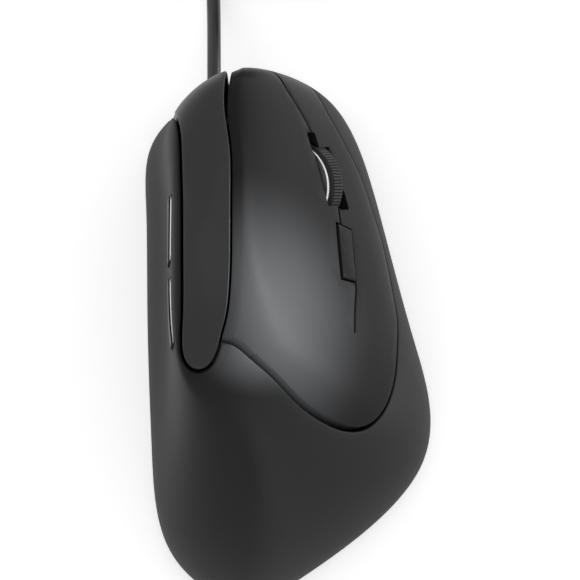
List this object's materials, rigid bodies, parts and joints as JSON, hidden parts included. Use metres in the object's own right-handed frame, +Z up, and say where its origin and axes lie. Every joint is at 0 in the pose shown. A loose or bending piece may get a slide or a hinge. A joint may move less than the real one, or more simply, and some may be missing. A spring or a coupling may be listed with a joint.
{
  "type": "vertical mouse",
  "caption": "Wired right-hand vertical mouse: a tall leaning shell with finger buttons and a scroll wheel on its right face, thumb keys on its left, and a coiled cord with a USB plug.",
  "frame": {"origin": "centre of the mouse's own bounding box on the surface it stands on", "axes": "+X to the finger side, +Y to the nose where the cord leaves, +Z up"},
  "size_m": [0.0669, 0.2704, 0.0761],
  "materials": {
    "shell": "fine matte, slightly warm black",
    "panel": "matte black",
    "buttons": "fine matte black",
    "keys": "satin black",
    "bright_trim": "satin silver plating",
    "tyre": "ribbed rubber",
    "inner_plastic": "plain moulded",
    "light_plastic": "plain moulded",
    "feet": "smooth slippery sheet",
    "board": "green board",
    "switch": "moulded switch body",
    "plunger": "smooth",
    "steel": "plain steel",
    "clear": "clear lens",
    "cord": "smooth black jacket",
    "contact": "gilt"
  },
  "bodies": {
    "housing": {"top_panel": "panel", "button_cover": "buttons", "side_shell": "shell", "front_foot": "feet", "rear_foot": "feet", "base_plate": "inner_plastic", "case_screws": "steel", "board_screws": "steel", "frame_screws": "steel", "inner_frame": "inner_plastic", "button_screws": "steel", "button_board": "board", "left_switch": "switch", "right_switch": "switch", "middle_switch": "switch", "dpi_switch": "switch", "thumb_board": "board", "forward_switch": "switch", "back_switch": "switch", "wheel_bracket": "steel", "pivot_pin": "steel", "main_board": "board", "sensor_chip": "switch", "sensor_lens": "clear", "light_source": "clear", "controller_chip": "switch", "cord_connector": "light_plastic", "strain_relief": "cord", "inner_lead": "cord", "cord_run": "cord", "cord_coil": "cord", "plug_relief": "cord", "plug_body": "cord", "plug_shell": "steel", "plug_tongue": "light_plastic", "plug_contacts": "contact"},
    "left_button": {"left_button": "buttons"},
    "right_button": {"right_button": "buttons"},
    "dpi_key": {"dpi_key": "keys"},
    "forward_key": {"forward_key": "keys", "forward_trim": "bright_trim"},
    "back_key": {"back_key": "keys", "back_trim": "bright_trim"},
    "left_plunger": {"left_plunger": "plunger"},
    "right_plunger": {"right_plunger": "plunger"},
    "middle_plunger": {"middle_plunger": "plunger"},
    "dpi_plunger": {"dpi_plunger": "plunger"},
    "forward_plunger": {"forward_plunger": "plunger"},
    "back_plunger": {"back_plunger": "plunger"},
    "wheel": {"wheel_tyre": "tyre", "wheel_hub": "inner_plastic", "wheel_ring": "bright_trim", "wheel_axle": "steel"},
    "cradle": {"wheel_cradle": "light_plastic", "wheel_encoder": "light_plastic"}
  },
  "joints": [
    {"name": "left_press", "type": "hinge", "parent": "housing", "child": "left_button", "pos_m": [0.01525, -0.00459, 0.0431], "axis": [-0.4229, -0.2251, 0.8778], "range_deg": [0, 0.5], "stiffness_Nm_per_rad": 3, "springref_deg": -0.57},
    {"name": "right_press", "type": "hinge", "parent": "housing", "child": "right_button", "pos_m": [0.01525, -0.00459, 0.0431], "axis": [-0.4229, -0.2251, 0.8778], "range_deg": [0, 0.5], "stiffness_Nm_per_rad": 3, "springref_deg": -0.57},
    {"name": "left_plunge", "type": "slide", "parent": "housing", "child": "left_plunger", "axis": [-0.8529, -0.2285, -0.4695], "range_m": [0, 0.000417]},
    {"name": "right_plunge", "type": "slide", "parent": "housing", "child": "right_plunger", "axis": [-0.8529, -0.2285, -0.4695], "range_m": [0, 0.000328]},
    {"name": "wheel_press", "type": "hinge", "parent": "housing", "child": "cradle", "pos_m": [0.00543, 0.01797, 0.03185], "axis": [-0.4292, -0.2052, 0.8796], "range_deg": [0, 1], "stiffness_Nm_per_rad": 1.5, "springref_deg": -1.72},
    {"name": "wheel_spin", "type": "hinge", "parent": "cradle", "child": "wheel", "pos_m": [0.00127, 0.03129, 0.03293], "axis": [-0.4292, -0.2052, 0.8796], "continuous": true},
    {"name": "middle_plunge", "type": "slide", "parent": "housing", "child": "middle_plunger", "axis": [-0.8529, -0.2285, -0.4695], "range_m": [0, 0.000553]},
    {"name": "dpi_press", "type": "slide", "parent": "housing", "child": "dpi_key", "axis": [-0.8529, -0.2285, -0.4695], "range_m": [0, 0.0004], "stiffness_N_per_m": 800, "springref_m": -0.0004},
    {"name": "dpi_plunge", "type": "slide", "parent": "housing", "child": "dpi_plunger", "axis": [-0.8529, -0.2285, -0.4695], "range_m": [0, 0.00042]},
    {"name": "forward_press", "type": "slide", "parent": "housing", "child": "forward_key", "axis": [1, 0, 0], "range_m": [0, 0.0005], "stiffness_N_per_m": 800, "springref_m": -0.0004},
    {"name": "forward_plunge", "type": "slide", "parent": "housing", "child": "forward_plunger", "axis": [1, 0, 0], "range_m": [0, 0.00052]},
    {"name": "back_press", "type": "slide", "parent": "housing", "child": "back_key", "axis": [1, 0, 0], "range_m": [0, 0.0005], "stiffness_N_per_m": 800, "springref_m": -0.0004},
    {"name": "back_plunge", "type": "slide", "parent": "housing", "child": "back_plunger", "axis": [1, 0, 0], "range_m": [0, 0.00052]}
  ],
  "couplings": [
    {"joint": "left_plunge", "follows": "left_press", "m_per_rad": 0.0455},
    {"joint": "right_plunge", "follows": "right_press", "m_per_rad": 0.03577},
    {"joint": "middle_plunge", "follows": "wheel_press", "m_per_rad": 0.0302},
    {"joint": "dpi_plunge", "follows": "dpi_press", "ratio": 1},
    {"joint": "forward_plunge", "follows": "forward_press", "ratio": 1},
    {"joint": "back_plunge", "follows": "back_press", "ratio": 1}
  ]
}
